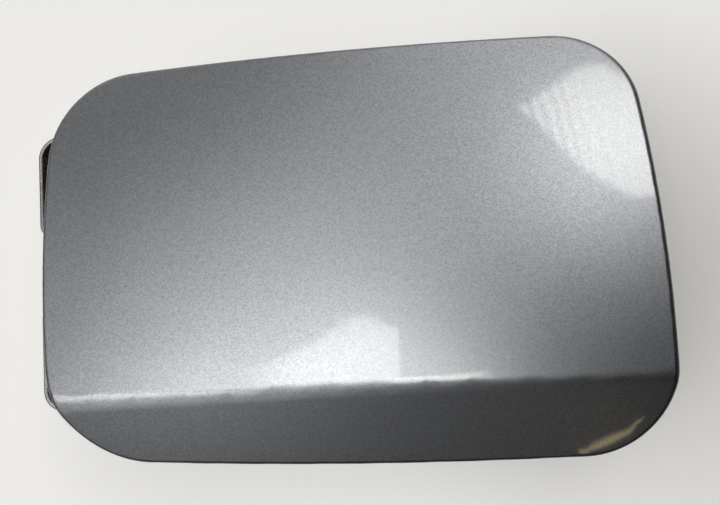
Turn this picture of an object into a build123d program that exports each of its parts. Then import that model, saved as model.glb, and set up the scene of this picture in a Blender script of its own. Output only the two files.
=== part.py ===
from build123d import *
import math
import os

# Car fuel door: a hemmed lid on a sprung swan-neck hinge. Millimetres.
# +X runs from the hinge to the latch, +Y into the car, +Z up along the hinge pin.
# The origin is on the mounting face of the hinge base, midway between its two bolt holes.

# Lid outline, between the corners where its four bowed edges would meet
LID_WIDTH = 176.0
LID_HEIGHT = 119.0
SIDE_LEAN = 2.44
TOP_BOW = 1.0
BOTTOM_BOW = 2.0
HINGE_BOW = 3.0
LATCH_BOW = 3.3
CORNER_R_TOP_HINGE = 27.5
CORNER_R_TOP_LATCH = 24.5
CORNER_R_BOTTOM_LATCH = 25.0
CORNER_R_BOTTOM_HINGE = 31.0

# Crown of the lid and the crease near its lower edge
CROWN_R_ACROSS = 1100.0
CROWN_R_UP = 600.0
CREASE_DROP = 40.45
CREASE_RISE = 1.77
CREASE_BOW = 0.8
CREASE_TURN = 27.0
CREASE_R_HINGE = 15.0
CREASE_R_LATCH = 9.0

# Sheets and hem of the lid
SKIN_T = 1.0
INNER_T = 1.0
HEM_RETURN = 7.5
HEM_ROOM = 0.15
EDGE_R = 2.1
HEM_BACK_R = 0.8

# Raised platform of the inner panel
PLATFORM_DEPTH = 12.0
PLATFORM_SIDE_MARGIN = 10.5
PLATFORM_TOP_MARGIN = 12.5
PLATFORM_CREASE_MARGIN = 5.45
PLATFORM_CORNER_R = 20.0
PLATFORM_DRAFT = 30.0
PLATFORM_EDGE_R = 4.0
BEAD_LENGTH = 76.0
BEAD_WIDTH = 9.0
BEAD_DEPTH = 2.4
BEAD_DRAFT = 25.0
BEAD_X = 10.0
BEAD_TOP_Z = 32.0
BEAD_BOTTOM_Z = -20.0
GAUGE_HOLE_R = 5.0
GAUGE_HOLE_SPAN = 76.0

# Place of the hinge pin beside and behind the lid
LID_LEAN = 4.6
PIVOT_OUT = 2.6
PIVOT_BEHIND = 28.0
PIVOT_ABOVE = 0.95

# Hinge pin, bushes and clip
PIN_R = 2.5
PIN_HEAD_R = 4.6
PIN_HEAD_T = 1.6
PIN_FIT = 0.03
PIN_RUN = 0.05
BUSH_WALL = 1.1
BUSH_FLANGE_R = 6.0
BUSH_FLANGE_T = 1.0
BUSH_TAIL = 0.6
SIDE_PLAY = 0.3
WASHER_R = 5.0
WASHER_T = 0.8
CLIP_R = 4.4
CLIP_T = 0.7
CLIP_GROOVE_R = 1.9
CLIP_PLAY = 0.05
PIN_TAIL = 1.6

# Hinge base
EAR_GAP = 16.9
EAR_R = 7.0
BASE_T = 1.6
MOUNT_BEHIND = 18.0
MOUNT_BESIDE = 50.0
TONGUE_FLANGE = 5.0
TONGUE_END = 36.0
FOOT_BAR_WIDTH = 20.0
BOLT_SPACING = 40.0
BOLT_HOLE_R = 3.3
BOLT_LAND = 10.0
FOOT_BAR_R = 7.0
BASE_BEND_R = 2.6

# Swan-neck hinge arm
ARM_T = 1.2
LEG_HEIGHT = 34.75
LEG_WALL_OUT = 8.5
LEG_RIM_FRONT = 6.0
LEG_BACK = 12.0
LEG_LOBE = 8.0
LEG_BEND_R = 10.0
LEG_OUTER_R = 7.0
LEG_INNER_R = 4.5
NECK_X = 28.0
NECK_BEND_R = 11.0
NECK_INNER_R = 3.0
LOBE_R = 2.0
NECK_FLANGE = 9.5
ARM_FOOT_X = 34.0
ARM_FOOT_LENGTH = 22.0
ARM_FOOT_HEIGHT = 72.0
ARM_FOOT_CORNER_R = 8.0
ARM_FOOT_BEND_R = 2.5
ARM_FOOT_MARGIN = 4.0
ARM_WINDOW_R = 6.0
ARM_WINDOW_X = 47.0
ARM_TAPER_START = 8.0
ARM_TAPER_R = 20.0
ARM_KNEE_R = 8.0
WELD_R = 2.6
WELD_DEPTH = 0.25
WELD_SPACING = 13.0

# Torsion spring
WIRE_R = 1.0
COIL_R = 4.4
COIL_TURNS = 5
COIL_END_ROOM = 1.8
SPRING_GAP = 0.3
SPRING_DOOR_LEG = 37.0
SPRING_BASE_LEG = 14.0

# Latch striker
STRIKER_T = 1.6
STRIKER_X = 69.0
STRIKER_Z = 3.0
STRIKER_FOOT = 15.0
STRIKER_WIDTH = 19.0
STRIKER_REACH = 24.0
STRIKER_BEND_R = 3.2
STRIKER_HOLE_R = 4.5
STRIKER_HOLE_BACK = 14.5
STRIKER_TIP_R = 7.0

# Fuel cap holder
HOLDER_X = 10.0
HOLDER_Z = 5.0
HOLDER_WIDTH = 34.0
HOLDER_HEIGHT = 28.0
HOLDER_DEPTH = 16.0
HOLDER_WALL = 2.4
HOLDER_CORNER_R = 5.0
HOLDER_SLOT = 14.0
HOLDER_SLOT_DROP = 15.0
SNAP_SPAN = 16.0
SNAP_WIDTH = 6.0
SNAP_T = 3.0
SNAP_LIP = 0.8
SNAP_REACH = 2.6
SNAP_ROOM = 0.2
HOLDER_EDGE_R = 0.8

# Rubber bumpers
BUMPER_X = 63.0
BUMPER_TOP_Z = 34.0
BUMPER_BOTTOM_Z = -24.0
BUMPER_R = 7.0
BUMPER_TIP_R = 4.5
BUMPER_HEIGHT = 9.0
BUMPER_NECK_R = 4.0
BUMPER_BARB_R = 4.9
BUMPER_BARB = 3.5
BUMPER_EDGE_R = 1.2

# Sizes that follow from those above
HEM_T = 2 * SKIN_T + INNER_T
SLAB_REACH = LID_WIDTH / 2 + LATCH_BOW + 10.0
SLAB_TOP = LID_HEIGHT / 2 + 15.0
DEEP = 60.0
PIVOT_X = -MOUNT_BESIDE
PIVOT_Y = -MOUNT_BEHIND
LID_PIVOT_X = -(LID_WIDTH / 2 + HINGE_BOW + PIVOT_OUT)
EAR_OUT = EAR_GAP / 2 + BASE_T
LEG_IN = EAR_OUT + BUSH_FLANGE_T + SIDE_PLAY
LEG_OUT = LEG_IN + LEG_HEIGHT
ARM_FOOT_Y = PLATFORM_DEPTH - PIVOT_BEHIND
PLATFORM_BOTTOM = PLATFORM_CREASE_MARGIN - CREASE_DROP

HINGE_PLACE = Pos(PIVOT_X, PIVOT_Y, 0)
LID_PLACE = HINGE_PLACE * Rot(0, LID_LEAN, 0) * Pos(-LID_PIVOT_X, -PIVOT_BEHIND, -PIVOT_ABOVE)


def front_plane(y):
    """Plane facing the front of the car side, with the sketch's second axis upright."""
    return Plane(origin=(0, y, 0), x_dir=(1, 0, 0), z_dir=(0, -1, 0))


def nearest_vertex(shape, point):
    return min(shape.vertices(), key=lambda v: (v.center() - Vector(point)).length)


def rounded(corners):
    """Closed face through (x, y, radius) corners."""
    face = make_face(Polyline([(x, y) for x, y, _ in corners], close=True))
    for x, y, radius in corners:
        if radius > 0:
            face = fillet(nearest_vertex(face, (x, y, 0)), radius)
    return face


def upright(face, z_low, z_high):
    """Solid of a plan face between two heights."""
    return extrude(Plane.XY.offset(z_low) * face, amount=z_high - z_low)


def disc(radius, z_low, z_high):
    return upright(Circle(radius), z_low, z_high)


# Lid skin
def edge_circle(start, end, bow):
    """Centre and radius of a bowed edge; the lid lies to the right of its run."""
    chord = end - start
    radius = (chord.length**2 / 4 + bow**2) / (2 * bow)
    inward = Vector(chord.Y, -chord.X).normalized()
    return (start + end) / 2 + inward * (radius - bow), radius, inward


def circles_meet(first, second, near):
    """Crossing of two circles, each given by centre and radius, that lies closest to a point."""
    (centre, r1), (other, r2) = first, second
    span = other - centre
    along = (span.length**2 + r1**2 - r2**2) / (2 * span.length)
    side = math.sqrt(r1**2 - along**2)
    u = span.normalized()
    crossings = [centre + u * along + Vector(-u.Y, u.X) * side * sign for sign in (-1, 1)]
    return min(crossings, key=lambda p: (p - near).length)


def lid_outline(inset):
    lean = math.tan(math.radians(SIDE_LEAN)) * LID_HEIGHT / 2
    w, h = LID_WIDTH / 2, LID_HEIGHT / 2
    tips = [Vector(-w - lean, h), Vector(w - lean, h), Vector(w + lean, -h), Vector(-w + lean, -h)]
    bows = (TOP_BOW, LATCH_BOW, BOTTOM_BOW, HINGE_BOW)
    radii = (CORNER_R_TOP_HINGE, CORNER_R_TOP_LATCH, CORNER_R_BOTTOM_LATCH, CORNER_R_BOTTOM_HINGE)
    circles = [edge_circle(tips[i], tips[(i + 1) % 4], bows[i]) for i in range(4)]
    rings = [(centre, radius - inset) for centre, radius, _ in circles]
    corners = [circles_meet(rings[i - 1], rings[i], tips[i]) for i in range(4)]
    edges = []
    for i, (centre, radius, inward) in enumerate(circles):
        middle = centre - inward * (radius - inset)
        edges.append(ThreePointArc(corners[i], middle, corners[(i + 1) % 4]))
    face = make_face(edges)
    for corner, radius in zip(corners, radii):
        face = fillet(nearest_vertex(face, corner), radius - inset)
    return face


def crown_y(x):
    return CROWN_R_ACROSS - math.sqrt(CROWN_R_ACROSS**2 - x**2)


def crease_z(x):
    part = x / (LID_WIDTH / 2)
    return -CREASE_DROP + CREASE_RISE * part - CREASE_BOW * part**2


def crease_corner(x, depth):
    """Where the crown and the lower face meet at station x, and the lower face's direction."""
    lean = math.asin(-crease_z(x) / CROWN_R_UP)
    turn = lean + math.radians(CREASE_TURN)
    along = (math.sin(turn), -math.cos(turn))
    centre_y = crown_y(x) + CROWN_R_UP
    start_y = centre_y - CROWN_R_UP * math.cos(lean) + depth * math.cos(turn)
    start_z = crease_z(x) + depth * math.sin(turn)
    b = (start_y - centre_y) * along[0] + start_z * along[1]
    c = (start_y - centre_y) ** 2 + start_z**2 - (CROWN_R_UP - depth) ** 2
    root = math.sqrt(b * b - c)
    step = min(-b + root, -b - root, key=abs)
    return (start_y + step * along[0], start_z + step * along[1]), along


def lid_section(x, front, back):
    """Section of a layer of the lid between two depths, at station x."""
    plane = Plane(origin=(x, 0, 0), x_dir=(0, 1, 0), z_dir=(1, 0, 0))

    def crown_point(z, depth):
        return (crown_y(x) + CROWN_R_UP - math.sqrt((CROWN_R_UP - depth) ** 2 - z**2), z)

    def layer_edge(depth):
        corner, along = crease_corner(x, depth)
        low = (corner[0] - along[0] * (SLAB_TOP + corner[1]) / along[1], -SLAB_TOP)
        middle = crown_point((SLAB_TOP + corner[1]) / 2, depth)
        return crown_point(SLAB_TOP, depth), middle, corner, low

    top0, middle0, corner0, low0 = layer_edge(front)
    top1, middle1, corner1, low1 = layer_edge(back)
    edges = [
        ThreePointArc(top0, middle0, corner0),
        Line(corner0, low0),
        Line(low0, low1),
        Line(low1, corner1),
        ThreePointArc(corner1, middle1, top1),
        Line(top1, top0),
    ]
    face = make_face(edges)
    part = (x + SLAB_REACH) / (2 * SLAB_REACH)
    radius = CREASE_R_HINGE + (CREASE_R_LATCH - CREASE_R_HINGE) * part
    for corner, depth in ((corner0, front), (corner1, back)):
        if radius > depth:
            face = fillet(nearest_vertex(face, (*corner, 0)), radius - depth)
    return plane * face


def lid_slab(front, back):
    stations = [SLAB_REACH * part for part in (-1.0, -0.5, 0.0, 0.5, 1.0)]
    return loft([lid_section(x, front, back) for x in stations])


def lid_layer(inset, front, back):
    """Part of the lid between two depths behind its face, inside its outline."""
    return extrude(front_plane(0) * lid_outline(inset), amount=DEEP, both=True) & lid_slab(front, back)


def border(faces):
    """Edges round a group of joined faces."""
    edges = [e for f in faces for e in f.edges()]
    return [e for e in edges if sum(e.is_same(other) for other in edges) == 1]


def rim_edges(solid, side):
    """Edges round the front (side -1) or back (side +1) of a layer."""
    return border([f for f in solid.faces() if side * f.normal_at().Y > 0.5])


def make_outer_panel():
    body = lid_layer(0.0, 0.0, HEM_T)
    body = fillet(rim_edges(body, -1), EDGE_R)
    body = fillet(rim_edges(body, 1), HEM_BACK_R)
    fold = lid_layer(SKIN_T, SKIN_T, SKIN_T + INNER_T)
    back_opening = lid_layer(HEM_RETURN, SKIN_T, DEEP / 3)
    return body - fold - back_opening


# Inner panel
def platform_face(inset):
    w = LID_WIDTH / 2 - PLATFORM_SIDE_MARGIN - inset
    top = LID_HEIGHT / 2 - PLATFORM_TOP_MARGIN - inset
    bottom = PLATFORM_BOTTOM + inset
    r = PLATFORM_CORNER_R - inset
    return rounded([(-w, top, r), (w, top, r), (w, bottom, r), (-w, bottom, r)])


def platform_hat(depth, inset, edge_r):
    """Drafted block whose flat back is the platform, widening towards the skin."""
    hat = extrude(front_plane(depth) * platform_face(inset), amount=depth + INNER_T, taper=-PLATFORM_DRAFT)
    return fillet(hat.faces().sort_by(Axis.Y)[-1].edges(), edge_r)


def bead_blocks(depth, grow):
    """Two sunk beads of the platform, each a drafted block."""
    slot = SlotOverall(BEAD_LENGTH + 2 * grow, BEAD_WIDTH + 2 * grow)
    places = [front_plane(PLATFORM_DEPTH) * Pos(BEAD_X, z) for z in (BEAD_TOP_Z, BEAD_BOTTOM_Z)]
    return [extrude(place * slot, amount=depth, taper=BEAD_DRAFT) for place in places]


def through_panel(face, x, z):
    """Cutter through the platform at a place of the lid."""
    return extrude(front_plane(PLATFORM_DEPTH) * Pos(x, z) * face, amount=2 * INNER_T, both=True)


def make_inner_panel():
    flange = lid_layer(SKIN_T + HEM_ROOM, SKIN_T, SKIN_T + INNER_T)
    lean = math.radians(PLATFORM_DRAFT)
    wall_step = INNER_T / math.cos(lean) - INNER_T * math.tan(lean)
    hat = platform_hat(PLATFORM_DEPTH, 0.0, PLATFORM_EDGE_R)
    hollow = platform_hat(PLATFORM_DEPTH - INNER_T, wall_step, PLATFORM_EDGE_R - INNER_T)
    panel = flange + (hat & lid_slab(SKIN_T, DEEP)) - hollow
    panel += bead_blocks(BEAD_DEPTH + INNER_T, INNER_T)
    panel -= bead_blocks(BEAD_DEPTH, 0.0)
    snap_slot = Rectangle(SNAP_T + 2 * SNAP_ROOM, SNAP_WIDTH + 2 * SNAP_ROOM)
    for side in (-1, 1):
        panel -= through_panel(Circle(GAUGE_HOLE_R), HOLDER_X + side * GAUGE_HOLE_SPAN / 2, HOLDER_Z)
        panel -= through_panel(snap_slot, HOLDER_X + side * SNAP_SPAN / 2, HOLDER_Z)
    for z in (BUMPER_TOP_Z, BUMPER_BOTTOM_Z):
        panel -= through_panel(Circle(BUMPER_NECK_R), BUMPER_X, z)
    return panel


# Hinge arm, drawn about the pin
def leg_side_plan():
    """Reach of the side flanges: a lobe round the pin, the neck and the rise to the foot."""
    rise = ARM_FOOT_Y + ARM_T
    neck_front = LEG_BACK - NECK_FLANGE
    return rounded(
        [
            (-2 * LEG_WALL_OUT, -LEG_RIM_FRONT, 0),
            (-2 * LEG_WALL_OUT, 2 * LEG_BACK, 0),
            (2 * ARM_FOOT_X, 2 * LEG_BACK, 0),
            (2 * ARM_FOOT_X, rise, 0),
            (ARM_FOOT_X - NECK_FLANGE, rise, 0),
            (NECK_X - NECK_FLANGE, neck_front, NECK_INNER_R),
            (LEG_LOBE, neck_front, LOBE_R),
            (LEG_LOBE, -LEG_RIM_FRONT, LOBE_R),
        ]
    )


def leg_block_plan(inset):
    """Plan of the space that the web wraps round, with the web itself when inset is nought."""
    rise = ARM_FOOT_Y + ARM_T
    slope = (ARM_FOOT_X - NECK_X) / (LEG_BACK - rise)
    wall = inset - LEG_WALL_OUT
    back = LEG_BACK - inset
    neck = NECK_X - inset * math.hypot(1.0, slope) + inset * slope
    front = 2 * rise
    return rounded(
        [
            (wall, front, 0),
            (wall, back, LEG_BEND_R - inset),
            (neck, back, NECK_BEND_R - inset),
            (neck + slope * (back - front), front, 0),
        ]
    )


def leg_front_view(inset):
    """Front view of the upper leg: square at the pin, then tapering and straight again over the foot."""
    left, right = -2 * LEG_WALL_OUT, 2 * ARM_FOOT_X
    end = ARM_FOOT_HEIGHT / 2 - ARM_FOOT_MARGIN
    run = ARM_FOOT_X - NECK_FLANGE - ARM_TAPER_START
    slope = (LEG_OUT - end) / run
    start = ARM_TAPER_START - inset * (math.hypot(1.0, slope) - 1.0) / slope
    top = LEG_OUT - inset
    bottom = LEG_IN + inset
    return rounded(
        [
            (left, bottom, 0),
            (left, top, 0),
            (start, top, ARM_TAPER_R - inset),
            (start + run, end - inset, ARM_KNEE_R + inset),
            (right, end - inset, 0),
            (right, bottom, 0),
        ]
    )


def leg_block(inset):
    """Upper leg as a full block with its long bends rounded, or the hollow inside its sheet."""
    block = upright(leg_block_plan(inset), LEG_IN, LEG_OUT)
    block &= extrude(front_plane(0) * leg_front_view(inset), amount=DEEP, both=True)
    for side, radius in ((1, LEG_OUTER_R), (-1, LEG_INNER_R)):
        flank = [f for f in block.faces() if side * f.normal_at().Z > 0.5]
        front = block.bounding_box().min.Y
        bends = [e for e in border(flank) if e.center().Y > front + ARM_T]
        block = fillet(bends, radius - inset)
    return block


def make_leg():
    leg = leg_block(0.0) & upright(leg_side_plan(), LEG_IN, LEG_OUT)
    leg -= leg_block(ARM_T)
    return leg - disc(PIN_R + PIN_FIT, 0, 2 * LEG_OUT)


def make_arm_foot():
    """Plate that is welded to the platform, with a window and the dimples of its spot welds."""
    left = ARM_FOOT_X - NECK_FLANGE
    right = ARM_FOOT_X + ARM_FOOT_LENGTH
    top = ARM_FOOT_HEIGHT / 2
    view = rounded(
        [
            (left, -top, 0),
            (right, -top, ARM_FOOT_CORNER_R),
            (right, top, ARM_FOOT_CORNER_R),
            (left, top, 0),
        ]
    )
    view -= Pos(ARM_WINDOW_X, 0) * Circle(ARM_WINDOW_R)
    plane = front_plane(ARM_FOOT_Y + ARM_T)
    foot = extrude(plane * view, amount=ARM_T)
    weld = extrude(plane * Circle(WELD_R), amount=WELD_DEPTH)
    for side in (-1, 1):
        for step in (0, 1):
            z = side * (LEG_IN + 2 * WELD_R + step * WELD_SPACING)
            foot -= Pos(ARM_FOOT_X + ARM_FOOT_LENGTH / 2, 0, z) * weld
    return foot


def make_hinge_arm():
    upper = make_leg()
    arm = upper + mirror(upper, about=Plane.XY) + make_arm_foot()
    back = ARM_FOOT_Y + ARM_T
    lands = [f for f in arm.faces() if f.normal_at().Y > 0.9 and abs(f.center().Y - back) < WELD_DEPTH / 2]
    land_edges = max(lands, key=lambda f: f.area).edges()
    under_leg = [e for e in land_edges if ARM_FOOT_X - NECK_FLANGE < e.center().X <= ARM_FOOT_X]
    margin = ARM_FOOT_HEIGHT / 2 - ARM_FOOT_MARGIN / 2
    crook = [e for e in under_leg if LEG_IN <= abs(e.center().Z) < margin]
    return fillet(crook, ARM_FOOT_BEND_R)


# Hinge base, drawn about the pin
def ear_plan(inset):
    """Side view of an ear and the low flange that runs from it along the tongue."""
    edge = (TONGUE_END, MOUNT_BEHIND - TONGUE_FLANGE)
    turn = math.atan2(edge[1], edge[0]) - math.acos(EAR_R / math.hypot(*edge))
    touch = (EAR_R * math.cos(turn), EAR_R * math.sin(turn))
    back = MOUNT_BEHIND - inset
    flange = rounded(
        [(-EAR_R, 0, 0), (0, 0, 0), (*touch, 0), (*edge, 0), (TONGUE_END, back, 0), (-EAR_R, back, 0)]
    )
    return flange + Circle(EAR_R)


def make_hinge_base():
    channel = upright(ear_plan(0.0), -EAR_OUT, EAR_OUT)
    back_edges = channel.edges().filter_by(Axis.X).sort_by(Axis.Y)[-2:]
    channel = fillet(back_edges, BASE_BEND_R)
    hollow = extrude(
        Plane.XY.offset(-EAR_GAP / 2) * Pos(0, MOUNT_BEHIND - BASE_T - DEEP / 2) * Rectangle(2 * DEEP, DEEP),
        amount=EAR_GAP,
    )
    hollow = fillet(hollow.edges().filter_by(Axis.X).sort_by(Axis.Y)[-2:], BASE_BEND_R - BASE_T)
    flat = EAR_OUT - BASE_BEND_R
    bar_left = MOUNT_BESIDE - FOOT_BAR_WIDTH / 2
    bar_right = MOUNT_BESIDE + FOOT_BAR_WIDTH / 2
    bar_top = BOLT_SPACING / 2 + BOLT_LAND
    tee = rounded(
        [
            (TONGUE_END - BASE_T, flat, 0),
            (bar_left, flat, FOOT_BAR_R / 2),
            (bar_left, bar_top, FOOT_BAR_R),
            (bar_right, bar_top, FOOT_BAR_R),
            (bar_right, -bar_top, FOOT_BAR_R),
            (bar_left, -bar_top, FOOT_BAR_R),
            (bar_left, -flat, FOOT_BAR_R / 2),
            (TONGUE_END - BASE_T, -flat, 0),
        ]
    )
    for side in (-1, 1):
        tee -= Pos(MOUNT_BESIDE, side * BOLT_SPACING / 2) * Circle(BOLT_HOLE_R)
    base = channel - hollow + extrude(front_plane(MOUNT_BEHIND) * tee, amount=BASE_T)
    return base - disc(PIN_R + PIN_RUN + BUSH_WALL, -EAR_OUT, EAR_OUT)


def make_bush():
    """Upper bush: sleeve through the ear and a flange that carries the leg above it."""
    sleeve = disc(PIN_R + PIN_RUN + BUSH_WALL, EAR_GAP / 2 - BUSH_TAIL, EAR_OUT)
    flange = disc(BUSH_FLANGE_R, EAR_OUT, EAR_OUT + BUSH_FLANGE_T)
    return sleeve + flange - disc(PIN_R + PIN_RUN, 0, LEG_OUT)


def clip_level():
    return -LEG_OUT - WASHER_T - CLIP_PLAY - CLIP_T


def make_hinge_pin():
    bottom = clip_level() - CLIP_PLAY - PIN_TAIL
    shank = disc(PIN_R, bottom, LEG_OUT)
    shank = chamfer(shank.faces().sort_by(Axis.Z)[0].edges(), PIN_R / 4)
    head = disc(PIN_HEAD_R, LEG_OUT, LEG_OUT + PIN_HEAD_T)
    head = fillet(head.faces().sort_by(Axis.Z)[-1].edges(), PIN_HEAD_T / 2)
    groove = disc(PIN_HEAD_R, clip_level() - CLIP_PLAY, clip_level() + CLIP_T + CLIP_PLAY)
    groove -= disc(CLIP_GROOVE_R, clip_level() - CLIP_T, 0)
    return shank + head - groove


def make_pin_washer():
    return disc(WASHER_R, -LEG_OUT - WASHER_T, -LEG_OUT) - disc(PIN_R + PIN_FIT, -2 * LEG_OUT, 0)


def make_pin_clip():
    bore = CLIP_GROOVE_R + PIN_FIT
    shape = Circle(CLIP_R) - Circle(bore) - Pos(CLIP_R, 0) * Rectangle(2 * CLIP_R, 1.6 * bore)
    for side in (-1, 1):
        shape -= Pos(0, side * (bore + CLIP_R) / 2) * Circle((CLIP_R - bore) / 4)
    return upright(shape, clip_level(), clip_level() + CLIP_T)


def make_torsion_spring():
    """Coil round the pin, with one leg against the base and one behind the arm's foot."""
    height = EAR_GAP - 2 * (COIL_END_ROOM + WIRE_R)
    stand_off = WIRE_R + SPRING_GAP
    base_end = Vector(SPRING_BASE_LEG, MOUNT_BEHIND - BASE_T - stand_off)
    door_end = Vector(SPRING_DOOR_LEG, ARM_FOOT_Y + ARM_T + stand_off)
    start = math.atan2(base_end.Y, base_end.X) + math.acos(COIL_R / base_end.length)
    finish = math.atan2(door_end.Y, door_end.X) - math.acos(COIL_R / door_end.length)
    turns = (finish - start) / (2 * math.pi) % 1 + COIL_TURNS
    coil = Helix(height / turns, height, COIL_R)
    coil = Pos(0, 0, -height / 2) * Rot(0, 0, math.degrees(start)) * coil
    base_leg = math.sqrt(base_end.length**2 - COIL_R**2)
    door_leg = math.sqrt(door_end.length**2 - COIL_R**2)
    lead = Line(coil @ 0 - (coil % 0) * base_leg, coil @ 0)
    tail = Line(coil @ 1, coil @ 1 + (coil % 1) * door_leg)
    path = Wire([lead.edge(), coil.edge(), tail.edge()])
    section = Plane(origin=path @ 0, z_dir=path % 0) * Circle(WIRE_R)
    return sweep(section, path=path, is_frenet=True)


# Fittings on the inner panel
def make_striker():
    left, right = STRIKER_X - STRIKER_FOOT, STRIKER_X
    front, back = PLATFORM_DEPTH, PLATFORM_DEPTH + STRIKER_REACH
    plan = rounded(
        [
            (left, front, 0),
            (right, front, STRIKER_BEND_R),
            (right, back, 0),
            (right - STRIKER_T, back, 0),
            (right - STRIKER_T, front + STRIKER_T, STRIKER_BEND_R - STRIKER_T),
            (left, front + STRIKER_T, 0),
        ]
    )
    striker = upright(plan, STRIKER_Z - STRIKER_WIDTH / 2, STRIKER_Z + STRIKER_WIDTH / 2)
    tips = striker.edges().filter_by(Axis.X).group_by(Axis.Y)[-1]
    striker = fillet(tips, STRIKER_TIP_R)
    ends = striker.edges().filter_by(Axis.Y).group_by(Axis.X)[0]
    striker = fillet(ends, STRIKER_BEND_R)
    hole_plane = Plane(origin=(right, front + STRIKER_HOLE_BACK, STRIKER_Z), z_dir=(1, 0, 0))
    return striker - extrude(hole_plane * Circle(STRIKER_HOLE_R), amount=STRIKER_T * 2, both=True)


def make_snap(side):
    """Barbed stud that holds the cap holder in a slot of the inner panel."""
    catch = PLATFORM_DEPTH - INNER_T - SNAP_ROOM
    tip = catch - SNAP_REACH
    half = SNAP_T / 2
    plan = Polyline(
        [
            (-half, PLATFORM_DEPTH),
            (half, PLATFORM_DEPTH),
            (half, catch),
            (half + SNAP_LIP, catch),
            (half, tip),
            (-half, tip),
        ],
        close=True,
    )
    stud = upright(make_face(plan), HOLDER_Z - SNAP_WIDTH / 2, HOLDER_Z + SNAP_WIDTH / 2)
    if side < 0:
        stud = mirror(stud, about=Plane.YZ)
    return Pos(HOLDER_X + side * SNAP_SPAN / 2, 0, 0) * stud


def make_cap_holder():
    w, h = HOLDER_WIDTH / 2, HOLDER_HEIGHT / 2
    back = PLATFORM_DEPTH + HOLDER_DEPTH
    r = HOLDER_CORNER_R
    place = Pos(HOLDER_X, HOLDER_Z)
    outside = rounded([(-w, -h, r), (w, -h, r), (w, h, r / 2), (-w, h, r / 2)])
    iw, ir = w - HOLDER_WALL, r - HOLDER_WALL
    inside = rounded([(-iw, HOLDER_WALL - h, ir), (iw, HOLDER_WALL - h, ir), (iw, 2 * h, 0), (-iw, 2 * h, 0)])
    holder = extrude(front_plane(back) * place * outside, amount=HOLDER_DEPTH)
    holder = fillet(border([holder.faces().sort_by(Axis.Y)[-1]]), HOLDER_EDGE_R)
    holder -= extrude(front_plane(back - HOLDER_WALL) * place * inside, amount=HOLDER_DEPTH - 2 * HOLDER_WALL)
    s, floor = HOLDER_SLOT / 2, h - HOLDER_SLOT_DROP
    sr = s - HOLDER_EDGE_R
    slot = rounded([(-s, floor, sr), (s, floor, sr), (s, 2 * h, 0), (-s, 2 * h, 0)])
    holder -= extrude(front_plane(back) * place * slot, amount=HOLDER_WALL)
    return holder + make_snap(-1) + make_snap(1)


def make_bumper(z):
    front, back = PLATFORM_DEPTH, PLATFORM_DEPTH + BUMPER_HEIGHT
    catch = front - INNER_T
    barb = catch - BUMPER_BARB
    half = rounded(
        [
            (0, barb, 0),
            (BUMPER_NECK_R / 2, barb, 0),
            (BUMPER_BARB_R, catch, 0),
            (BUMPER_NECK_R, catch, 0),
            (BUMPER_NECK_R, front, 0),
            (BUMPER_R, front, 0),
            (BUMPER_TIP_R, back, BUMPER_EDGE_R),
            (0, back, 0),
        ]
    )
    return Pos(BUMPER_X, 0, z) * revolve(half, axis=Axis.Y)


def make_nodes():
    bush = make_bush()
    about_pin = {
        "hinge_base": make_hinge_base(),
        "bush_upper": bush,
        "bush_lower": mirror(bush, about=Plane.XY),
        "torsion_spring": make_torsion_spring(),
        "hinge_arm": make_hinge_arm(),
        "hinge_pin": make_hinge_pin(),
        "pin_washer": make_pin_washer(),
        "pin_clip": make_pin_clip(),
    }
    on_lid = {
        "outer_panel": make_outer_panel(),
        "inner_panel": make_inner_panel(),
        "striker": make_striker(),
        "cap_holder": make_cap_holder(),
        "bumper_upper": make_bumper(BUMPER_TOP_Z),
        "bumper_lower": make_bumper(BUMPER_BOTTOM_Z),
    }
    nodes = {name: HINGE_PLACE * shape for name, shape in about_pin.items()}
    nodes.update({name: LID_PLACE * shape for name, shape in on_lid.items()})
    return nodes


def main():
    os.makedirs("parts", exist_ok=True)
    for name, shape in make_nodes().items():
        export_step(shape, f"parts/{name}.step")


main()
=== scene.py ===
import math

import bmesh
import bpy
from mathutils import Euler, Matrix, Vector


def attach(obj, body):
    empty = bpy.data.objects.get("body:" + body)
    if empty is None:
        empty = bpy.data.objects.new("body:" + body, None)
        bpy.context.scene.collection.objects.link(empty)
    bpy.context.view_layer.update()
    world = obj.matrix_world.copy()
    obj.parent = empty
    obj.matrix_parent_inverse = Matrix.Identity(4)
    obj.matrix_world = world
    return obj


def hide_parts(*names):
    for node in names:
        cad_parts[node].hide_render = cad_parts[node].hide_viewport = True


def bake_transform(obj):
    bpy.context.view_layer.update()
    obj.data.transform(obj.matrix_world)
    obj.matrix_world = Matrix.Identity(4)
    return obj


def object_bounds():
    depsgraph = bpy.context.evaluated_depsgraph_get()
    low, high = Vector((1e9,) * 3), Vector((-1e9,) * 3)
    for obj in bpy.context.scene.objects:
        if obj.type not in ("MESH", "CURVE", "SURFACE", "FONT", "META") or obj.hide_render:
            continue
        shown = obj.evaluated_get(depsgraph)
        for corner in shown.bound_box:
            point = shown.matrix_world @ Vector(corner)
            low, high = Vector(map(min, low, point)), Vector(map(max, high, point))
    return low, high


# Looks of the car fuel door. Metres, in the same frame as the solids: the painted face looks along -Y.

# Camera, from the lid's outline in the photograph of 720 x 505 pixels
CAMERA_PLACE = (0.074996, -0.236822, -0.048030)
CAMERA_TURN_DEG = (100.7223, 6.0985, 8.3001)
CAMERA_LENS_MM = 35.0
CAMERA_SENSOR_MM = 36.0
CAMERA_NEAR = 0.01

# Direction from the part to the camera's side
FRONT = Vector((0.0, -1.0, 0.0))

# Hinge line, about which the lid swings and the spring is wound
PIVOT = Vector((-0.050, -0.018, 0.0))

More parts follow.
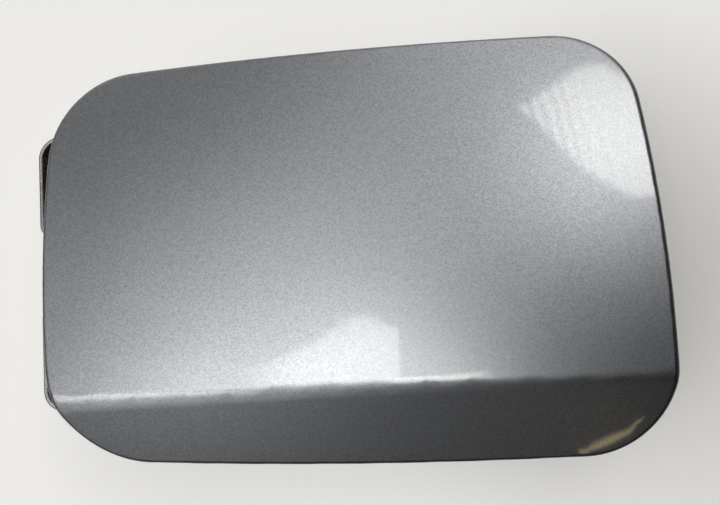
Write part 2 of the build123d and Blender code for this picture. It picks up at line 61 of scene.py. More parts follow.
# Torsion spring: ends of its two legs are seen along the hinge line and measured from it
COIL_R = 0.0044
COIL_HEIGHT = 0.0113
COIL_TURNS = 5
WIRE_R = 0.001
BASE_LEG_END = Vector((0.0140, 0.0151))
DOOR_LEG_END = Vector((0.0370, -0.0135))
STEPS_PER_TURN = 36
WIRE_SIDES = 16

# Corners of the skin closer than this are one, and edges sharper than this stay sharp
SKIN_JOIN = 1e-6
SKIN_SHARP = math.radians(35.0)

# Hollow in each leg of the arm, where road dirt gathers and shade is painted: its middle, the x where the
# dirt and painted shade end, and how far a face has to look towards the middle to be in it
LEG_HOLLOW = (-0.046, -0.017, 0.0287)
LEG_HOLLOW_END_X = -0.016
LEG_HOLLOW_FADE = 0.006
LEG_HOLLOW_INWARD = (0.0004, 0.0012)

# Cut edge round the open side of each leg: the x where it ends, the y of its normal, and its rust,
# which grows from the upper z to the lower one
LEG_RIM_END_X = -0.030
LEG_RIM_FADE = 0.002
LEG_RIM_FRONT = (-0.70, -0.85)
LEG_RUST_Z = (0.042, 0.030)
LEG_RUST_SHARE = (0.30, 0.55)

# Pale board right behind the part and pale floor below it, with a little glow that only the camera sees
# and that is weaker round one point of the board, where it paints a soft shadow of the part
BOARD_Y = 0.0015
STAGE_SIZE = 3.0
FLOOR_GAP = 0.025
STAGE_COLOUR = (0.86, 0.845, 0.79)
STAGE_GLOW_COLOUR = (0.86, 0.86, 0.88)
STAGE_GLOW = 0.445
STAGE_GLOW_SHADED = 0.13
STAGE_SHADE_AT = (0.154, BOARD_Y, -0.030)
STAGE_SHADE_REACH = 0.133
BACKGROUND = (0.80, 0.795, 0.785)

# Soft light of the room as round glows: azimuth and elevation in degrees seen from the part,
# with azimuth 0 in front and 90 at the latch side, then tightness and level
ROOM_GLOWS = [
    (-26.0, -9.0, 70.0, 2.18),
    (-12.0, -25.0, 40.0, 0.32),
    (-4.0, -6.0, 70.0, 0.64),
    (20.0, 14.0, 70.0, 1.33),
    (-18.0, 5.0, 20.0, 1.01),
    (-2.0, 5.0, 20.0, 0.34),
    (2.0, 25.0, 20.0, 0.50),
    (25.0, 48.0, 20.0, 1.28),
    (-50.0, 48.0, 20.0, 0.51),
    (-55.0, 5.0, 20.0, 0.53),
    (-40.0, -38.0, 20.0, 0.88),
    (0.0, -62.0, 12.0, 0.105),
    (180.0, 15.0, 4.0, 0.90),
    (135.0, 20.0, 5.0, 0.40),
    (-135.0, 20.0, 5.0, 0.30),
    (180.0, 70.0, 4.0, 0.40),
    (-128.0, -22.0, 14.0, 0.40),
]

# Window panels in front of the lid, whose mirror images are the bright patches on its clear coat:
# the loop where the light has faded out, and the loop inside which it is full
WINDOW_Y = -0.900
LOW_WINDOW = (
    [
        (-0.345, -0.118),
        (-0.150, -0.026),
        (-0.082, 0.014),
        (-0.038, 0.015),
        (0.016, -0.032),
        (-0.020, -0.380),
        (-0.345, -0.380),
    ],
    [
        (-0.190, -0.094),
        (-0.122, -0.054),
        (-0.070, -0.018),
        (-0.046, -0.016),
        (0.010, -0.038),
        (-0.002, -0.132),
        (-0.190, -0.104),
    ],
)
HIGH_WINDOW = (
    [
        (0.298, 0.470),
        (0.460, 0.600),
        (0.520, 0.606),
        (0.590, 0.540),
        (0.625, 0.420),
        (0.640, 0.190),
        (0.494, 0.196),
        (0.406, 0.288),
    ],
    [
        (0.330, 0.456),
        (0.475, 0.562),
        (0.515, 0.566),
        (0.562, 0.510),
        (0.595, 0.400),
        (0.610, 0.222),
        (0.508, 0.220),
        (0.428, 0.308),
    ],
)
LEFT_STRIP = (
    [(-0.900, -0.130), (-0.620, -0.245), (-0.330, -0.410), (-0.330, -0.700), (-0.900, -0.700)],
    [(-0.880, -0.155), (-0.620, -0.262), (-0.430, -0.405), (-0.430, -0.440), (-0.880, -0.350)],
)
RIGHT_STRIP = (
    [(-0.010, -0.152), (0.190, -0.152), (0.190, -0.400), (-0.030, -0.400)],
    [(-0.002, -0.162), (0.138, -0.162), (0.120, -0.190), (-0.010, -0.205)],
)
LOW_STRENGTH = 2.25
HIGH_STRENGTH = 2.9
LEFT_STRENGTH = 1.8
RIGHT_STRENGTH = 3.2
WINDOW_COLOUR = (1.0, 0.985, 0.955)

# Ripples near the tip of the high window, which is the first corner of its loops
RIPPLE_DEPTH = 0.8
RIPPLE_SCALE = 11.6
RIPPLE_REACH = 0.24

# Warm card that lies level, low in front of the latch side, for the sliver of light at that corner
CARD_Z = -0.600
WARM_CARD = (
    [
        (0.1881, -0.2399),
        (0.2226, -0.2488),
        (0.2540, -0.2554),
        (0.2823, -0.2635),
        (0.2787, -0.2595),
        (0.2564, -0.2480),
        (0.2348, -0.2391),
        (0.2181, -0.2345),
        (0.1907, -0.2330),
    ],
    [
        (0.1928, -0.2360),
        (0.2196, -0.2393),
        (0.2522, -0.2496),
        (0.2766, -0.2603),
        (0.2758, -0.2596),
        (0.2551, -0.2494),
        (0.2349, -0.2412),
        (0.2189, -0.2370),
        (0.1936, -0.2348),
    ],
)
CARD_STRENGTH = 2.1
CARD_COLOUR = (1.0, 0.78, 0.44)

# Body paint
PAINT_DARK = (0.236, 0.244, 0.258)
PAINT_LIGHT = (0.504, 0.519, 0.542)
PAINT_ROUGHNESS = 0.31
PAINT_COAT_ROUGHNESS = 0.04
PAINT_COAT_IOR = 1.80
FLAKE_SCALE = 3600.0
FLAKE_TILT = 0.02

# Colours of bare metal, rust, dirt, painted shade and plastic, the darker one first where there are two
BARE_RIM = (0.70, 0.69, 0.67)
# Painted shade, the dark outline along the rounded edges of the arm's cut rims
RIM_EDGE_SHADE = (0.05, 0.045, 0.04)
RUBBED_PAINT = (0.66, 0.65, 0.63)
# Soil, whose dark end is also painted shade in the hollows of the arm's legs
SOIL_AND_SHADE = ((0.022, 0.015, 0.012), (0.30, 0.20, 0.15))
PANEL_DUST = (0.33, 0.29, 0.24)
ZINC = ((0.40, 0.39, 0.35), (0.66, 0.65, 0.60))
RUBBED_ZINC = (0.74, 0.73, 0.71)
ZINC_DUST = (0.45, 0.40, 0.33)
PIN_STEEL = ((0.44, 0.43, 0.41), (0.62, 0.61, 0.59))
PIN_RUST = (0.24, 0.17, 0.11)
SPRING_WIRE = ((0.10, 0.095, 0.09), (0.24, 0.23, 0.22))
SPRING_DUST = (0.14, 0.11, 0.08)
NYLON = ((0.60, 0.57, 0.49), (0.72, 0.69, 0.61))
PLASTIC = ((0.016, 0.016, 0.018), (0.032, 0.032, 0.034))
RUBBER = ((0.014, 0.014, 0.014), (0.030, 0.030, 0.029))
MOULDED_DUST = (0.30, 0.27, 0.23)


class Web:
    """Nodes of a finish, a shared effect or the room light, with short ways to add and join them."""

    def __init__(self, tree):
        self.tree = tree
        self.nodes = tree.nodes
        self.nodes.clear()

    def put(self, kind, inputs, **settings):
        node = self.nodes.new(kind)
        for name, value in settings.items():
            setattr(node, name, value)
        for name, value in inputs.items():
            if isinstance(value, bpy.types.NodeSocket):
                self.tree.links.new(value, node.inputs[name])
            else:
                node.inputs[name].default_value = value
        return node

    def place(self):
        return self.put("ShaderNodeTexCoord", {}).outputs["Object"]

    def facing(self):
        return self.put("ShaderNodeNewGeometry", {}).outputs["Normal"]

    def maths(self, operation, *values, clamp=False):
        node = self.put("ShaderNodeMath", dict(enumerate(values)), operation=operation, use_clamp=clamp)
        return node.outputs["Value"]

    def vector(self, operation, *values, output="Vector"):
        node = self.put("ShaderNodeVectorMath", dict(enumerate(values)), operation=operation)
        return node.outputs[output]

    def split(self, vector):
        node = self.put("ShaderNodeSeparateXYZ", {"Vector": vector})
        return [node.outputs[axis] for axis in "XYZ"]

    def stretched(self, place, shift=(0.0, 0.0, 0.0), scale=(1.0, 1.0, 1.0)):
        inputs = {"Vector": place, "Location": shift, "Scale": scale}
        return self.put("ShaderNodeMapping", inputs).outputs["Vector"]

    def cells(self, place, scale):
        return self.put("ShaderNodeTexVoronoi", {"Vector": place, "Scale": scale}).outputs["Color"]

    def noise(self, place, scale, detail=2.0, roughness=0.5):
        inputs = {"Vector": place, "Scale": scale, "Detail": detail, "Roughness": roughness}
        return self.put("ShaderNodeTexNoise", inputs).outputs["Fac"]

    def spread(self, value, low, high, to_low=0.0, to_high=1.0, kind="LINEAR"):
        inputs = {"Value": value, "From Min": low, "From Max": high, "To Min": to_low, "To Max": to_high}
        return self.put("ShaderNodeMapRange", inputs, interpolation_type=kind).outputs["Result"]

    def tint(self, factor, first, second):
        first, second = (c if isinstance(c, bpy.types.NodeSocket) else (*c, 1.0) for c in (first, second))
        node = self.put("ShaderNodeMix", {"Factor": factor, "A": first, "B": second}, data_type="RGBA")
        return node.outputs["Result"]

    def bump(self, height, strength, distance, **over):
        inputs = {"Height": height, "Strength": strength, "Distance": distance, **over}
        return self.put("ShaderNodeBump", inputs).outputs["Normal"]

    def effect(self, group, inputs):
        return self.put("ShaderNodeGroup", inputs, node_tree=group).outputs

    def surface(self, inputs):
        shader = self.put("ShaderNodeBsdfPrincipled", inputs)
        self.put("ShaderNodeOutputMaterial", {"Surface": shader.outputs["BSDF"]})


def new_finish(name):
    material = bpy.data.materials.new(name)
    material.use_nodes = True
    return material, Web(material.node_tree)


def new_effect(name, inputs, outputs):
    """Shared effect: its node group, the nodes in it and its input sockets."""
    group = bpy.data.node_groups.new(name, "ShaderNodeTree")
    for direction, sockets in (("INPUT", inputs), ("OUTPUT", outputs)):
        for label, kind in sockets.items():
            group.interface.new_socket(label, in_out=direction, socket_type="NodeSocket" + kind)
    web = Web(group)
    given = web.put("NodeGroupInput", {}).outputs
    return group, web, given


def grain_effect():
    """Fine uneven grain: a shade for colour and roughness, and a height for bump."""
    inputs = {"Place": "Vector", "Scale": "Float"}
    group, web, given = new_effect("fine_grain", inputs, {"Shade": "Float", "Height": "Float"})
    fine = web.noise(given["Place"], given["Scale"], 3.0, 0.6)
    coarse = web.noise(given["Place"], web.maths("MULTIPLY", given["Scale"], 0.08), 2.0)
    both = web.maths("MULTIPLY_ADD", coarse, 0.6, web.maths("MULTIPLY", fine, 0.4))
    web.put("NodeGroupOutput", {"Shade": web.spread(both, 0.35, 0.65), "Height": fine})
    return group


def flake_effect():
    """Metal flakes in paint: a shade for each flake and the normal of its small tilt."""
    inputs = {"Place": "Vector", "Scale": "Float", "Tilt": "Float"}
    group, web, given = new_effect("paint_flake", inputs, {"Shade": "Float", "Normal": "Vector"})
    cells = web.cells(given["Place"], given["Scale"])
    lean = web.vector("SUBTRACT", cells, (0.5, 0.5, 0.5))
    lean = web.put("ShaderNodeVectorMath", {0: lean, "Scale": given["Tilt"]}, operation="SCALE")
    normal = web.vector("NORMALIZE", web.vector("ADD", web.facing(), lean.outputs["Vector"]))
    web.put("NodeGroupOutput", {"Shade": web.split(cells)[0], "Normal": normal})
    return group


def dust_effect():
    """Road dust: patchy all over, and thicker on faces that look up."""
    inputs = {"Place": "Vector", "Amount": "Float"}
    group, web, given = new_effect("road_dust", inputs, {"Mask": "Float"})
    up = web.split(web.facing())[2]
    settled = web.spread(up, 0.1, 0.9, 0.35, 1.0)
    patches = web.spread(web.noise(given["Place"], 160.0, 6.0, 0.65), 0.42, 0.72)
    specks = web.spread(web.noise(given["Place"], 2200.0, 2.0), 0.60, 0.70)
    film = web.maths("MAXIMUM", patches, web.maths("MULTIPLY", specks, 0.7))
    mask = web.maths("MULTIPLY", web.maths("MULTIPLY", film, settled), given["Amount"], clamp=True)
    web.put("NodeGroupOutput", {"Mask": mask})
    return group


def wear_effect():
    """Edge wear: patches rubbed along the edges, the whole edges, and the normal of edges rubbed round."""
    inputs = {"Place": "Vector", "Reach": "Float", "Amount": "Float"}
    outputs = {"Mask": "Float", "Edge": "Float", "Normal": "Vector"}
    group, web, given = new_effect("edge_wear", inputs, outputs)
    smooth = web.put("ShaderNodeBevel", {"Radius": given["Reach"]}, samples=6).outputs["Normal"]
    turned = web.spread(web.vector("DOT_PRODUCT", smooth, web.facing(), output="Value"), 0.995, 0.90)
    patchy = web.spread(web.noise(given["Place"], 420.0, 4.0, 0.7), 0.38, 0.62)
    mask = web.maths("MULTIPLY", web.maths("MULTIPLY", turned, patchy), given["Amount"])
    web.put("NodeGroupOutput", {"Mask": mask, "Edge": turned, "Normal": smooth})
    return group


def paint_flakes(web, place, effects):
    return web.effect(effects["flake"], {"Place": place, "Scale": FLAKE_SCALE, "Tilt": FLAKE_TILT})


def dust_mask(web, place, effects, amount):
    return web.effect(effects["dust"], {"Place": place, "Amount": amount})["Mask"]


def lid_paint(effects):
    """Metallic grey base coat with fine flake under a clear coat."""
    material, web = new_finish("lid_paint")
    place = web.place()
    flake = paint_flakes(web, place, effects)
    fine = web.noise(place, 5200.0, 1.0)
    shade = web.maths("MULTIPLY_ADD", flake["Shade"], 0.6, web.maths("MULTIPLY", fine, 0.4))
    web.surface(
        {
            "Base Color": web.tint(shade, PAINT_DARK, PAINT_LIGHT),
            "Metallic": 1.0,
            "Roughness": PAINT_ROUGHNESS,
            "Normal": flake["Normal"],
            "Coat Weight": 1.0,
            "Coat Roughness": PAINT_COAT_ROUGHNESS,
            "Coat IOR": PAINT_COAT_IOR,
        }
    )
    return material


def inner_paint(effects):
    """The same paint on the lid's inside: thinner, duller and dusty."""
    material, web = new_finish("inner_paint")
    place = web.place()
    flake = paint_flakes(web, place, effects)
    grain = web.effect(effects["grain"], {"Place": place, "Scale": 900.0})
    dust = dust_mask(web, place, effects, 0.30)
    paint = web.tint(flake["Shade"], PAINT_DARK, PAINT_LIGHT)
    web.surface(
        {
            "Base Color": web.tint(dust, paint, PANEL_DUST),
            "Metallic": web.spread(dust, 0.0, 1.0, 0.9, 0.0),
            "Roughness": web.spread(grain["Shade"], 0.0, 1.0, 0.38, 0.48),
            "Normal": flake["Normal"],
            "Coat Weight": web.spread(dust, 0.0, 0.5, 0.6, 0.0),
            "Coat Roughness": 0.15,
        }
    )
    return material


def leg_hollow(web, place):
    """Mask of the arm's faces that look into the hollow of a leg."""
    x, y, z = web.split(place)
    nx, ny, nz = web.split(web.facing())
    terms = []
    for middle, at, along in zip(
        LEG_HOLLOW,
        (x, y, web.maths("ABSOLUTE", z)),
        (nx, ny, web.maths("MULTIPLY", nz, web.maths("SIGN", z))),
    ):
        terms.append(web.maths("MULTIPLY", web.maths("SUBTRACT", middle, at), along))
    inward = web.maths("ADD", web.maths("ADD", terms[0], terms[1]), terms[2])
    before_foot = web.spread(x, LEG_HOLLOW_END_X, LEG_HOLLOW_END_X - LEG_HOLLOW_FADE)
    return web.maths("MULTIPLY", web.spread(inward, *LEG_HOLLOW_INWARD), before_foot)


def leg_rim(web, place):
    """Mask of the cut edge round the open side of each leg."""
    front = web.split(web.facing())[1]
    near_pin = web.spread(web.split(place)[0], LEG_RIM_END_X, LEG_RIM_END_X - LEG_RIM_FADE)
    return web.maths("MULTIPLY", web.spread(front, *LEG_RIM_FRONT), near_pin)


def arm_paint(effects):
    """Paint of the hinge arm: bare steel along its rims with painted shade on their edges, and rusty dirt
    with painted shade in the hollow legs.
    """
    material, web = new_finish("arm_paint")
    place = web.place()
    flake = paint_flakes(web, place, effects)
    worn = web.effect(effects["wear"], {"Place": place, "Reach": 0.0010, "Amount": 0.3})
    cut = leg_rim(web, place)
    rust = web.spread(web.split(place)[2], *LEG_RUST_Z, *LEG_RUST_SHARE)
    specks = web.maths("SUBTRACT", web.noise(place, 1900.0, 3.0, 0.6), rust)
    clean = web.spread(specks, -0.03, 0.03, 0.15, 1.0)
    bare = web.maths("MULTIPLY", cut, web.maths("SUBTRACT", 1.0, worn["Edge"]))
    rim = web.maths("MULTIPLY", bare, clean)
    dust = dust_mask(web, place, effects, 0.35)
    grain = web.effect(effects["grain"], {"Place": place, "Scale": 2400.0})
    # Painted shade with real dirt: faces that look into the hollow of each leg are darkened towards the
    # soil colour
    hollow_dirt_and_shade = web.maths("MULTIPLY", leg_hollow(web, place), 0.75)
    thick_dirt_and_shade = web.spread(web.maths("ADD", web.noise(place, 700.0, 5.0, 0.7), hollow_dirt_and_shade), 0.85, 1.05)
    dirt_and_shade = web.maths("MAXIMUM", thick_dirt_and_shade, web.maths("MULTIPLY", dust, 0.6))
    crumbs = web.spread(web.noise(place, 1600.0, 4.0, 0.7), 0.46, 0.66)
    paint = web.tint(flake["Shade"], PAINT_DARK, PAINT_LIGHT)
    paint = web.tint(worn["Mask"], paint, RUBBED_PAINT)
    # Painted shade: the rounded edges of the cut rim are darkened to a dark outline
    paint = web.tint(web.maths("MULTIPLY", cut, worn["Edge"]), paint, RIM_EDGE_SHADE)
    paint = web.tint(rim, paint, BARE_RIM)
    dull = web.maths("MAXIMUM", dirt_and_shade, web.maths("MULTIPLY", rim, 0.4))
    height = web.maths("MULTIPLY", dirt_and_shade, grain["Height"])
    web.surface(
        {
            "Base Color": web.tint(dirt_and_shade, paint, web.tint(crumbs, *SOIL_AND_SHADE)),
            "Metallic": web.spread(dirt_and_shade, 0.0, 1.0, 1.0, 0.0),
            "Roughness": web.spread(dull, 0.0, 1.0, PAINT_ROUGHNESS, 0.9),
            "Normal": web.bump(height, 0.6, 0.0004, Normal=worn["Normal"]),
            "Coat Weight": web.spread(web.maths("MAXIMUM", dirt_and_shade, rim), 0.0, 0.6, 0.8, 0.0),
            "Coat Roughness": 0.08,
        }
    )
    return material


def zinc_plate(effects):
    """Dull zinc: faint crystals, drawing streaks, rubbed edges and dust."""
    material, web = new_finish("base_plating")
    place = web.place()
    crystals = web.cells(place, 520.0)
    streaks = web.noise(web.stretched(place, scale=(60.0, 900.0, 900.0)), 1.0, 4.0, 0.6)
    grain = web.effect(effects["grain"], {"Place": place, "Scale": 1800.0})
    wear = web.effect(effects["wear"], {"Place": place, "Reach": 0.0007, "Amount": 0.7})["Mask"]
    dust = dust_mask(web, place, effects, 0.45)
    tone = web.maths("MULTIPLY_ADD", web.split(crystals)[0], 0.45, web.maths("MULTIPLY", streaks, 0.55))
    zinc = web.tint(wear, web.tint(tone, *ZINC), RUBBED_ZINC)
    web.surface(
        {
            "Base Color": web.tint(dust, zinc, ZINC_DUST),
            "Metallic": web.spread(dust, 0.0, 1.0, 1.0, 0.1),
            "Roughness": web.spread(web.maths("ADD", grain["Shade"], dust), 0.0, 2.0, 0.34, 0.75),
            "Normal": web.bump(grain["Height"], 0.15, 0.0002),
        }
    )
    return material


def turned_steel(effects):
    """Bright steel with the fine rings of a lathe round the hinge line."""
    material, web = new_finish("pin_steel")
    place = web.stretched(web.place(), shift=(-PIVOT.x, -PIVOT.y, -PIVOT.z))
    x, y, z = web.split(place)
    square = web.maths("ADD", web.maths("MULTIPLY", x, x), web.maths("MULTIPLY", y, y))
    radius = web.maths("SQRT", square)
    turned = web.put("ShaderNodeCombineXYZ", {"X": radius, "Y": z, "Z": 0.0}).outputs["Vector"]
    rings = web.noise(turned, 5200.0, 2.0)
    dust = dust_mask(web, place, effects, 0.3)
    grain = web.effect(effects["grain"], {"Place": place, "Scale": 1500.0})
    steel = web.tint(grain["Shade"], *PIN_STEEL)
    web.surface(
        {
            "Base Color": web.tint(dust, steel, PIN_RUST),
            "Metallic": web.spread(dust, 0.0, 1.0, 1.0, 0.2),
            "Roughness": web.spread(rings, 0.3, 0.7, 0.22, 0.42),
            "Normal": web.bump(rings, 0.2, 0.0001),
        }
    )
    return material


def spring_wire(effects):
    """Oiled spring wire, nearly black, with dust held by the oil."""
    material, web = new_finish("spring_steel")
    place = web.place()
    grain = web.effect(effects["grain"], {"Place": place, "Scale": 2600.0})
    dust = dust_mask(web, place, effects, 0.4)
    wire = web.tint(grain["Shade"], *SPRING_WIRE)
    web.surface(
        {
            "Base Color": web.tint(dust, wire, SPRING_DUST),
            "Metallic": web.spread(dust, 0.0, 1.0, 1.0, 0.3),
            "Roughness": web.spread(grain["Shade"], 0.0, 1.0, 0.26, 0.46),
            "Normal": web.bump(grain["Height"], 0.12, 0.0001),
        }
    )
    return material


def moulded(name, effects, dark, light, roughness, cells, depth, dust_amount):
    """Moulded plastic or rubber with a pebbled skin and some dust."""
    material, web = new_finish(name)
    place = web.place()
    rounded = {"Vector": place, "Scale": cells, "Smoothness": 0.5}
    pebbles = web.put("ShaderNodeTexVoronoi", rounded, feature="SMOOTH_F1").outputs["Distance"]
    grain = web.effect(effects["grain"], {"Place": place, "Scale": cells})
    dust = dust_mask(web, place, effects, dust_amount)
    skin = web.tint(grain["Shade"], dark, light)
    height = web.maths("MULTIPLY_ADD", grain["Height"], 0.5, web.maths("MULTIPLY", pebbles, 0.8))
    dull = web.maths("ADD", grain["Shade"], dust)
    web.surface(
        {
            "Base Color": web.tint(dust, skin, MOULDED_DUST),
            "Roughness": web.spread(dull, 0.0, 2.0, roughness - 0.06, roughness + 0.2),
            "Normal": web.bump(height, 0.35, depth),
        }
    )
    return material


def make_finishes():
    effects = {
        "grain": grain_effect(),
        "flake": flake_effect(),
        "dust": dust_effect(),
        "wear": wear_effect(),
    }
    return {
        "lid_paint": lid_paint(effects),
        "inner_paint": inner_paint(effects),
        "arm_paint": arm_paint(effects),
        "base_plating": zinc_plate(effects),
        "pin_steel": turned_steel(effects),
        "spring_steel": spring_wire(effects),
        "bush_nylon": moulded("bush_nylon", effects, *NYLON, 0.42, 1600.0, 0.0001, 0.25),
        "holder_plastic": moulded("holder_plastic", effects, *PLASTIC, 0.48, 1400.0, 0.0003, 0.22),
        "bumper_rubber": moulded("bumper_rubber", effects, *RUBBER, 0.70, 2400.0, 0.0002, 0.35),
    }


def finish_solids(nodes, finishes):
    painted = {"outer_panel": "lid_paint", "inner_panel": "inner_paint", "hinge_arm": "arm_paint"}
    for name, node in nodes.items():
        for place in node.material_slots:
            place.material = finishes[painted.get(name, place.material.name)]


def mesh_object(name, mesh):
    data = bpy.data.meshes.new(name)
    mesh.to_mesh(data)
    mesh.free()
    piece = bpy.data.objects.new(name, data)
    bpy.context.collection.objects.link(piece)
    return piece


def make_skin(panel, finish):
    """Painted skin: the outer panel with its faces joined, so that its shading is even over the bends."""
    mesh = bmesh.new()
    mesh.from_mesh(panel.data)
    bmesh.ops.remove_doubles(mesh, verts=mesh.verts, dist=SKIN_JOIN)
    skin = mesh_object("lid_skin", mesh)
    skin.data.attributes.remove(skin.data.attributes["custom_normal"])
    skin.data.set_sharp_from_angle(angle=SKIN_SHARP)
    skin.data.materials.clear()
    skin.data.materials.append(finish)
    even = skin.modifiers.new("even_shading", "WEIGHTED_NORMAL")
    even.mode = "FACE_AREA_WITH_ANGLE"
    even.keep_sharp = True
    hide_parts("outer_panel")
    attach(skin, "door")


def make_spring(finish):
    """Wound wire round the pin: its low leg bears on the base and its high leg on the arm's foot."""
    base_run = math.sqrt(BASE_LEG_END.length_squared - COIL_R**2)
    door_run = math.sqrt(DOOR_LEG_END.length_squared - COIL_R**2)
    start = math.atan2(BASE_LEG_END.y, BASE_LEG_END.x) + math.acos(COIL_R / BASE_LEG_END.length)
    end = math.atan2(DOOR_LEG_END.y, DOOR_LEG_END.x) - math.acos(COIL_R / DOOR_LEG_END.length)
    turns = COIL_TURNS + (end - start) / (2 * math.pi) % 1
    steps = round(turns * STEPS_PER_TURN)
    slope = math.atan2(COIL_HEIGHT, COIL_R * turns * 2 * math.pi)

    def run_at(angle):
        return Matrix.Rotation(angle, 3, "Z") @ Vector((0.0, math.cos(slope), math.sin(slope)))

    mesh = bmesh.new()
    bmesh.ops.create_circle(mesh, segments=WIRE_SIDES, radius=WIRE_R)
    bmesh.ops.rotate(mesh, matrix=Matrix.Rotation(slope - math.pi / 2, 3, "X"), verts=mesh.verts)
    bmesh.ops.translate(mesh, vec=(COIL_R, 0.0, -COIL_HEIGHT / 2), verts=mesh.verts)
    bmesh.ops.rotate(mesh, matrix=Matrix.Rotation(start, 3, "Z"), verts=mesh.verts)
    low_ring = mesh.edges[:]
    wound = bmesh.ops.spin(
        mesh,
        geom=mesh.verts[:] + low_ring,
        axis=(0.0, 0.0, 1.0),
        dvec=(0.0, 0.0, COIL_HEIGHT / steps),
        angle=turns * 2 * math.pi,
        steps=steps,
    )
    high_ring = [e for e in wound["geom_last"] if isinstance(e, bmesh.types.BMEdge)]
    for ring, run in ((low_ring, -base_run * run_at(start)), (high_ring, door_run * run_at(end))):
        leg = bmesh.ops.extrude_edge_only(mesh, edges=ring)["geom"]
        tip = [v for v in leg if isinstance(v, bmesh.types.BMVert)]
        bmesh.ops.translate(mesh, vec=run, verts=tip)
    for face in mesh.faces:
        face.smooth = True
    bmesh.ops.holes_fill(mesh, edges=[e for e in mesh.edges if e.is_boundary], sides=WIRE_SIDES)
    bmesh.ops.recalc_face_normals(mesh, faces=mesh.faces)
    bmesh.ops.translate(mesh, vec=PIVOT, verts=mesh.verts)
    spring = mesh_object("wound_spring", mesh)
    spring.data.materials.append(finish)
    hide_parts("torsion_spring")
    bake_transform(spring)


def make_window(name, loops, strength, ripple=0.0, colour=WINDOW_COLOUR, level_at=None):
    """Glowing panel that fades out between its two loops, with soft ripples near its tip where asked.

    It stands in the plane of the windows, or lies level at the height that is given.
    """
    mesh = bmesh.new()
    level = mesh.verts.layers.float.new("level")
    edges = []
    for loop, value in zip(loops, (0.0, 1.0)):
        verts = [mesh.verts.new((u, v, level_at) if level_at else (u, WINDOW_Y, v)) for u, v in loop]
        for vert in verts:
            vert[level] = value
        edges.append([mesh.edges.new((a, b)) for a, b in zip(verts, verts[1:] + verts[:1])])
    bmesh.ops.bridge_loops(mesh, edges=edges[0] + edges[1])
    bmesh.ops.contextual_create(mesh, geom=edges[1])
    panel = mesh_object(name, mesh)
    material, web = new_finish(name)
    fade = web.put("ShaderNodeAttribute", {}, attribute_name="level").outputs["Fac"]
    light = web.spread(fade, 0.0, 1.0, 0.0, strength, "SMOOTHSTEP")
    if ripple:
        place = web.place()
        tip = loops[0][0][0]
        bands = web.put("ShaderNodeTexWave", {"Vector": place, "Scale": RIPPLE_SCALE, "Distortion": 1.0})
        near_tip = web.spread(web.split(place)[0], tip, tip + RIPPLE_REACH, ripple, 0.0)
        dim = web.maths("MULTIPLY", bands.outputs["Fac"], near_tip)
        light = web.maths("MULTIPLY", light, web.maths("SUBTRACT", 1.0, dim))
    glow = web.put("ShaderNodeEmission", {"Color": (*colour, 1.0), "Strength": light})
    clear = web.put("ShaderNodeBsdfTransparent", {})
    both = web.put("ShaderNodeAddShader", {0: glow.outputs["Emission"], 1: clear.outputs["BSDF"]})
    web.put("ShaderNodeOutputMaterial", {"Surface": both.outputs["Shader"]})
    panel.data.materials.append(material)
    panel.visible_camera = False
    panel.visible_shadow = False


def stage_finish():
    """Pale matt face that the camera sees from its front side, and that no other light meets."""
    material, web = new_finish("stage")
    away = web.vector("DISTANCE", web.place(), STAGE_SHADE_AT, output="Value")
    # Painted shadow: the glow fades to its lowest level round one point of the board
    level = web.spread(away, 0.0, STAGE_SHADE_REACH, STAGE_GLOW_SHADED, STAGE_GLOW, "SMOOTHSTEP")
    face = web.put("ShaderNodeBsdfDiffuse", {"Color": (*STAGE_COLOUR, 1.0)})
    glow = web.put("ShaderNodeEmission", {"Color": (*STAGE_GLOW_COLOUR, 1.0), "Strength": level})
    pale = web.put("ShaderNodeAddShader", {0: face.outputs["BSDF"], 1: glow.outputs["Emission"]})
    clear = web.put("ShaderNodeBsdfTransparent", {})
    seen = web.put("ShaderNodeLightPath", {}).outputs["Is Camera Ray"]
    behind = web.put("ShaderNodeNewGeometry", {}).outputs["Backfacing"]
    front = web.maths("SUBTRACT", seen, behind, clamp=True)
    shaders = {0: front, 1: clear.outputs["BSDF"], 2: pale.outputs["Shader"]}
    mix = web.put("ShaderNodeMixShader", shaders)
    web.put("ShaderNodeOutputMaterial", {"Surface": mix.outputs["Shader"]})
    return material


def make_stage(floor_level):
    """Board right behind the part, which faces the camera, and the floor below both."""
    finish = stage_finish()
    sheets = (("board", 90.0, (0.0, BOARD_Y, 0.0)), ("floor", 0.0, (0.0, 0.0, floor_level)))
    for name, turn, place in sheets:
        mesh = bmesh.new()
        bmesh.ops.create_grid(mesh, x_segments=1, y_segments=1, size=STAGE_SIZE / 2)
        bmesh.ops.rotate(mesh, matrix=Matrix.Rotation(math.radians(turn), 3, "X"), verts=mesh.verts)
        bmesh.ops.translate(mesh, vec=place, verts=mesh.verts)
        sheet = mesh_object(name, mesh)
        sheet.data.materials.append(finish)


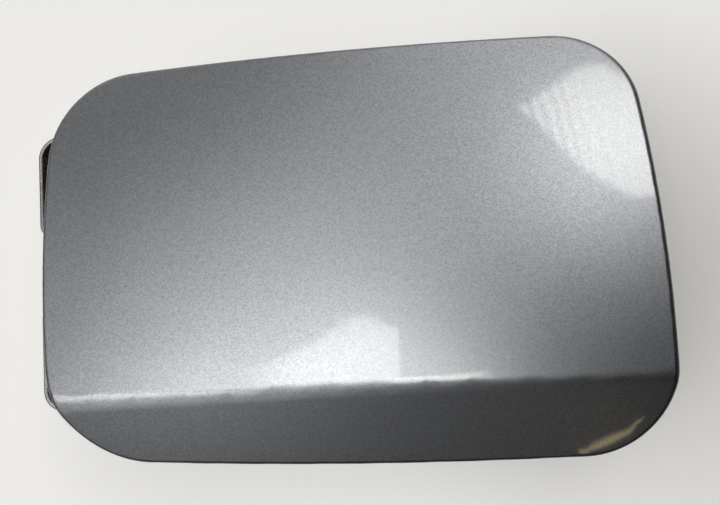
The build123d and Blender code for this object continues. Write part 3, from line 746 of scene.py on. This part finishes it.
def make_room():
    """World light of a few soft round glows, with a pale background that the camera and mirrors see."""
    world = bpy.data.worlds.new("room")
    bpy.context.scene.world = world
    world.use_nodes = True
    web = Web(world.node_tree)
    direction = web.put("ShaderNodeTexCoord", {}).outputs["Generated"]
    total = 0.0
    for azimuth, elevation, tightness, level in ROOM_GLOWS:
        aim = Euler((math.radians(-elevation), 0.0, math.radians(azimuth))).to_matrix() @ FRONT
        toward = web.vector("DOT_PRODUCT", direction, aim, output="Value")
        fall = web.maths("MULTIPLY_ADD", toward, tightness, math.log(level) - tightness)
        total = web.maths("ADD", web.maths("EXPONENT", fall), total)
    light = web.put("ShaderNodeBackground", {"Strength": total})
    pale = web.put("ShaderNodeBackground", {"Color": (*BACKGROUND, 1.0)})
    path = web.put("ShaderNodeLightPath", {}).outputs
    mirrored = web.maths("MAXIMUM", path["Is Glossy Ray"], path["Is Transmission Ray"])
    behind = web.spread(web.split(direction)[1], 0.75, 0.95)
    shown = web.maths("MAXIMUM", path["Is Camera Ray"], web.maths("MULTIPLY", mirrored, behind))
    shaders = {0: shown, 1: light.outputs["Background"], 2: pale.outputs["Background"]}
    mix = web.put("ShaderNodeMixShader", shaders)
    web.put("ShaderNodeOutputWorld", {"Surface": mix.outputs["Shader"]})


def make_camera():
    data = bpy.data.cameras.new("camera")
    data.lens = CAMERA_LENS_MM
    data.sensor_width = CAMERA_SENSOR_MM
    data.clip_start = CAMERA_NEAR
    camera = bpy.data.objects.new("camera", data)
    camera.location = CAMERA_PLACE
    camera.rotation_euler = Euler([math.radians(a) for a in CAMERA_TURN_DEG])
    bpy.context.collection.objects.link(camera)
    bpy.context.scene.camera = camera


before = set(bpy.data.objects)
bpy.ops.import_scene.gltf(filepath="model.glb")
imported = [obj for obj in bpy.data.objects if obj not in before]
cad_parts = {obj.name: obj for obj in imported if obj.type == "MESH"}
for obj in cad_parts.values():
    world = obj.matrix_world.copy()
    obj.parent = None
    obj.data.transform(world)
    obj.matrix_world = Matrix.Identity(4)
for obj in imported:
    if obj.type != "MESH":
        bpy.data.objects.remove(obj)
solid_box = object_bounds()
finishes = make_finishes()
finish_solids(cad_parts, finishes)
make_skin(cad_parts["outer_panel"], finishes["lid_paint"])
make_spring(finishes["spring_steel"])
make_room()
make_window("low_window", LOW_WINDOW, LOW_STRENGTH)
make_window("high_window", HIGH_WINDOW, HIGH_STRENGTH, ripple=RIPPLE_DEPTH)
make_window("left_strip", LEFT_STRIP, LEFT_STRENGTH)
make_window("right_strip", RIGHT_STRIP, RIGHT_STRENGTH)
make_window("warm_card", WARM_CARD, CARD_STRENGTH, colour=CARD_COLOUR, level_at=CARD_Z)
make_stage(solid_box[0].z - FLOOR_GAP)
make_camera()
bpy.context.scene.view_settings.view_transform = "Standard"
